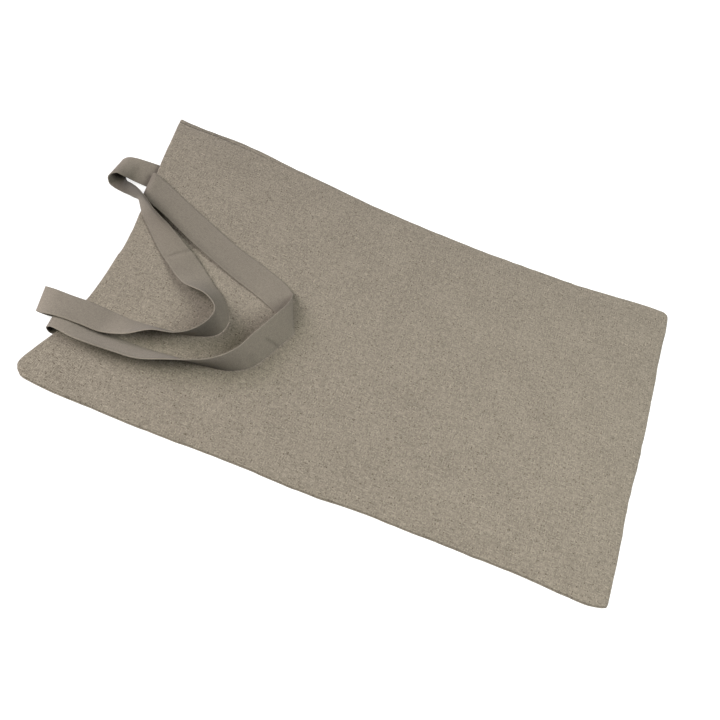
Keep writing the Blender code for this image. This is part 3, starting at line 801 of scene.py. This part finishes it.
def slub_tree():
    """Thick places of single threads, lying along the weave on the upward faces."""
    tree, given, out = growth_tree("slubs_on_cloth", (
        ("Float", "Per Square Metre"), ("Float", "Length"), ("Float", "Width"), ("Float", "Height"),
        ("Int", "Seed"), ("Material", "Thread")))
    normal = node(tree, "GeometryNodeInputNormal").outputs[0]
    upward = node(tree, "ShaderNodeSeparateXYZ", {0: normal}).outputs[2]
    facing = node(tree, "FunctionNodeCompare", {"A": upward, "B": SLUB_UPWARD},
                  data_type="FLOAT", operation="GREATER_THAN").outputs[0]
    spread = node(tree, "GeometryNodeDistributePointsOnFaces",
                  {"Mesh": given["Geometry"], "Selection": facing,
                   "Density": given["Per Square Metre"], "Seed": given["Seed"]})

    def chance(low, high, shift, kind="FLOAT"):
        dice = node(tree, "FunctionNodeRandomValue", data_type=kind)
        low_socket = next(s for s in dice.inputs if s.name == "Min" and s.enabled)
        high_socket = next(s for s in dice.inputs if s.name == "Max" and s.enabled)
        low_socket.default_value, high_socket.default_value = low, high
        seed = node(tree, "ShaderNodeMath", {0: given["Seed"], 1: float(shift)}, operation="ADD")
        tree.links.new(seed.outputs[0], dice.inputs["Seed"])
        return next(s for s in dice.outputs if s.enabled)

    quarter = reckon(tree, "MULTIPLY", chance(0, 1, 1, "INT"), math.pi / 2.0)
    angle = reckon(tree, "ADD", quarter, chance(-SLUB_TURN, SLUB_TURN, 2))
    turn = node(tree, "ShaderNodeCombineXYZ", {2: angle}).outputs[0]
    length = reckon(tree, "MULTIPLY", given["Length"], chance(*SLUB_LENGTHS, 3))
    width = reckon(tree, "MULTIPLY", given["Width"], chance(*SLUB_WIDTHS, 4))
    size = node(tree, "ShaderNodeCombineXYZ", {0: length, 1: width, 2: given["Height"]}).outputs[0]
    lump = node(tree, "GeometryNodeMeshUVSphere", {"Segments": 6, "Rings": 4, "Radius": 0.5})
    finish_growth(tree, spread.outputs["Points"], lump.outputs[0], turn, size, given["Thread"], out)
    return tree


def grow(name, source, tree, values):
    """Runs a geometry node tree on an object and keeps its result as a plain mesh."""
    grower = source.modifiers.new(name, "NODES")
    grower.node_group = tree
    for socket in tree.interface.items_tree:
        if socket.in_out == "INPUT" and socket.name in values:
            grower[socket.identifier] = values[socket.name]
    evaluated = source.evaluated_get(bpy.context.evaluated_depsgraph_get())
    mesh = bpy.data.meshes.new_from_object(evaluated)
    source.modifiers.remove(grower)
    mesh.name = name
    grown = bpy.data.objects.new(name, mesh)
    bpy.context.scene.collection.objects.link(grown)
    return grown


def path_object(name, lines):
    """An edge path for each list of points, in millimetres of the bag's plan."""
    points, edges = [], []
    for line in lines:
        first = len(points)
        points += to_world(line).tolist()
        edges += [(first + k, first + k + 1) for k in range(len(line) - 1)]
    mesh = bpy.data.meshes.new(name)
    mesh.from_pydata(points, edges, [])
    path = bpy.data.objects.new(name, mesh)
    bpy.context.scene.collection.objects.link(path)
    return path


def seam_path():
    """Line of the seam, from the mouth along the near side, round the closed end and back."""
    grid = round_corners(panel_points(SEAM_CELLS, 1.0))
    near, closed, far = grid[2:, 0], grid[-1, 1:], grid[-2:1:-1, -1]
    loop = np.concatenate([near, closed, far])
    height = np.full(len(loop), LINEN_THICK + PIECE_GAP / 2.0)
    return np.column_stack([loop, height])


SEW_BOX = 18.0                  # side of the sewn box at the end of a tape
SEW_INSET = 4.0                 # its distance from the cut end
SEW_LIFT = 0.5                  # height of its thread over the middle of the tape
SEW_STROKES = ((0, 1), (1, 2), (2, 3), (3, 0), (0, 2), (1, 3))  # from corner to corner
SEW_STEPS = 7                   # points along a stroke


def sewn_box_paths(rows, from_start, lift):
    """A box with a cross, sewn through the end of a tape, as paths on its face."""
    first, second, places, _ = tape_sections(rows)
    if not from_start:
        first, second, places = first[::-1], second[::-1], places[-1] - places[::-1]

    def on_tape(along, across):
        low = np.array([np.interp(along, places, first[:, k]) for k in range(3)])
        high = np.array([np.interp(along, places, second[:, k]) for k in range(3)])
        return low + (high - low) * across / TAPE_WIDTH + np.array([0.0, 0.0, lift])

    side, far_end = (TAPE_WIDTH - SEW_BOX) / 2.0, SEW_INSET + SEW_BOX
    corners = np.array([(SEW_INSET, side), (far_end, side), (far_end, side + SEW_BOX),
                        (SEW_INSET, side + SEW_BOX)])
    steps = np.linspace(0.0, 1.0, SEW_STEPS)[:, None]
    lines = []
    for start, end in SEW_STROKES:
        flat = corners[start] * (1.0 - steps) + corners[end] * steps
        lines.append(np.array([on_tape(along, across) for along, across in flat]))
    return lines


# ======== floor, light and camera ========

def make_floor():
    """A wide pale floor just under the bag."""
    mesh = bpy.data.meshes.new("pale_floor")
    reach, level = FLOOR_REACH, FLOOR_LEVEL
    mesh.from_pydata([(-reach, -reach, level), (reach, -reach, level), (reach, reach, level),
                      (-reach, reach, level)], [], [(0, 1, 2, 3)])
    material, _, shader = new_material("pale_floor")
    shader.inputs["Base Color"].default_value = (FLOOR_GREY, FLOOR_GREY, FLOOR_GREY, 1.0)
    shader.inputs["Emission Color"].default_value = (1.0, 1.0, 1.0, 1.0)
    shader.inputs["Emission Strength"].default_value = FLOOR_GLOW
    shader.inputs["Roughness"].default_value = 0.9
    shader.inputs["Specular IOR Level"].default_value = 0.0
    mesh.materials.append(material)
    floor = bpy.data.objects.new("pale_floor", mesh)
    bpy.context.scene.collection.objects.link(floor)


def make_light(name, place, size, power, colour):
    """A soft square lamp that faces the bag's middle."""
    lamp = bpy.data.lights.new(name, "AREA")
    lamp.shape = "SQUARE"
    lamp.size, lamp.energy, lamp.color = size, power, colour
    stand = bpy.data.objects.new(name, lamp)
    stand.location = place
    stand.rotation_euler = (-Vector(place)).to_track_quat("-Z", "Y").to_euler()
    bpy.context.scene.collection.objects.link(stand)


def make_surround(strength):
    """Even light from all round."""
    world = bpy.data.worlds.new("studio")
    world.use_nodes = True
    sky = world.node_tree.nodes["Background"]
    sky.inputs["Color"].default_value = (1.0, 1.0, 1.0, 1.0)
    sky.inputs["Strength"].default_value = strength
    bpy.context.scene.world = world


def make_camera():
    """The camera, turned by its heading, pitch and roll."""
    heading, pitch, roll = (math.radians(a) for a in (CAMERA_HEADING, CAMERA_PITCH, CAMERA_ROLL))
    up = Vector((0.0, 0.0, 1.0))
    level = Vector((-math.sin(heading), math.cos(heading), 0.0))
    right = Vector((math.cos(heading), math.sin(heading), 0.0))
    forward = level * math.cos(pitch) - up * math.sin(pitch)
    down = -up * math.cos(pitch) - level * math.sin(pitch)
    image_right = right * math.cos(roll) - down * math.sin(roll)
    image_down = right * math.sin(roll) + down * math.cos(roll)
    turned = Matrix((image_right, -image_down, -forward)).transposed()
    lens = bpy.data.cameras.new("camera")
    lens.lens, lens.sensor_width = CAMERA_LENS, CAMERA_FRAME
    lens.clip_start, lens.clip_end = CAMERA_NEAR, CAMERA_FAR
    camera = bpy.data.objects.new("camera", lens)
    camera.matrix_world = Matrix.Translation(Vector(to_world(CAMERA_PLACE))) @ turned.to_4x4()
    bpy.context.scene.collection.objects.link(camera)
    bpy.context.scene.camera = camera


# ======== the bag ========

LINEN_WEAVE = {
    "Thread Pitch": 1.05 * MM, "Unevenness": 1.1, "Slub Contrast": 0.55, "Fleck Amount": 0.8,
    "Gap Darkness": 0.32, "Pale Thread": (0.36, 0.32, 0.26, 1.0),
    "Dark Thread": (0.20, 0.175, 0.14, 1.0), "Fleck": (0.075, 0.055, 0.036, 1.0)}
TAPE_WEAVE = {
    "Thread Pitch": 0.75 * MM, "Unevenness": 0.5, "Slub Contrast": 0.55, "Fleck Amount": 0.15,
    "Gap Darkness": 0.22, "Pale Thread": (0.240, 0.215, 0.178, 1.0),
    "Dark Thread": (0.178, 0.158, 0.132, 1.0), "Fleck": (0.085, 0.07, 0.055, 1.0)}
PALE_SLUBS = {"Per Square Metre": 9000.0, "Length": 3.4 * MM, "Width": 0.55 * MM,
              "Height": 0.30 * MM, "Seed": 11}
STRAW_BITS = {"Per Square Metre": 4200.0, "Length": 1.7 * MM, "Width": 0.5 * MM,
              "Height": 0.22 * MM, "Seed": 23}
SEAM_STITCHES = {"Spacing": 2.6 * MM, "Stitch Length": 1.7 * MM, "Thread Radius": 0.2 * MM,
                 "Bulge": 0.1 * MM}
END_STITCHES = {"Spacing": 2.4 * MM, "Stitch Length": 1.8 * MM, "Thread Radius": 0.16 * MM,
                "Bulge": 0.08 * MM}


def build():
    """Makes the pieces and puts each in its CAD node's place."""
    weave = plain_weave_group()
    linen = woven_material("coarse_linen", weave, LINEN_WEAVE, bump=0.22, sheen=0.12)
    tape_cloth = woven_material("woven_tape", weave, TAPE_WEAVE, bump=0.06, sheen=0.06)
    thread = plain_material("sewing_thread", (0.30, 0.26, 0.20), 0.8)
    pale_slub = plain_material("pale_slub", (0.40, 0.355, 0.285), 0.95)
    straw_bit = plain_material("straw_bit", (0.13, 0.10, 0.07), 0.9)

    lower = make_lower_panel(linen)
    upper = make_upper_panel(linen)
    front = make_tape("front_handle_tape", FRONT_TAPE, FRONT_CREASES, FRONT_PAINTED_SHADES, tape_cloth)
    back = make_tape("back_handle_tape", BACK_TAPE, BACK_CREASES, BACK_PAINTED_SHADES, tape_cloth)

    slubs = slub_tree()
    pale = grow("pale_slubs", upper, slubs, {**PALE_SLUBS, "Thread": pale_slub})
    dark = grow("straw_bits", upper, slubs, {**STRAW_BITS, "Thread": straw_bit})
    stitches = stitch_tree()
    seam_line = path_object("seam_line", [seam_path()])
    seam = grow("seam_stitches", seam_line, stitches, {**SEAM_STITCHES, "Thread": thread})
    bpy.data.objects.remove(seam_line)

    ends = []
    for label, rows, lift in (("front", FRONT_TAPE, -SEW_LIFT), ("back", BACK_TAPE, SEW_LIFT)):
        lines = sewn_box_paths(rows, True, lift) + sewn_box_paths(rows, False, lift)
        line = path_object(label + "_box_line", lines)
        ends.append(grow(label + "_handle_stitches", line, stitches,
                         {**END_STITCHES, "Thread": thread}))
        bpy.data.objects.remove(line)

    for piece, cad_node, finish in ((lower, "lower_panel", "lower_linen"),
                                    (upper, "upper_panel", "upper_linen"),
                                    (front, "front_handle", "woven_tape"),
                                    (back, "back_handle", "woven_tape")):
        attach(piece, "root")
        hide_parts(cad_node)
    for piece in (pale, dark, seam):
        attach(piece, "root")
    for piece in ends:
        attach(piece, "root")


make_floor()
make_surround(SURROUND)
for lamp_row in LAMPS:
    make_light(*lamp_row)
make_camera()
build()
bpy.context.scene.view_settings.view_transform = "Standard"
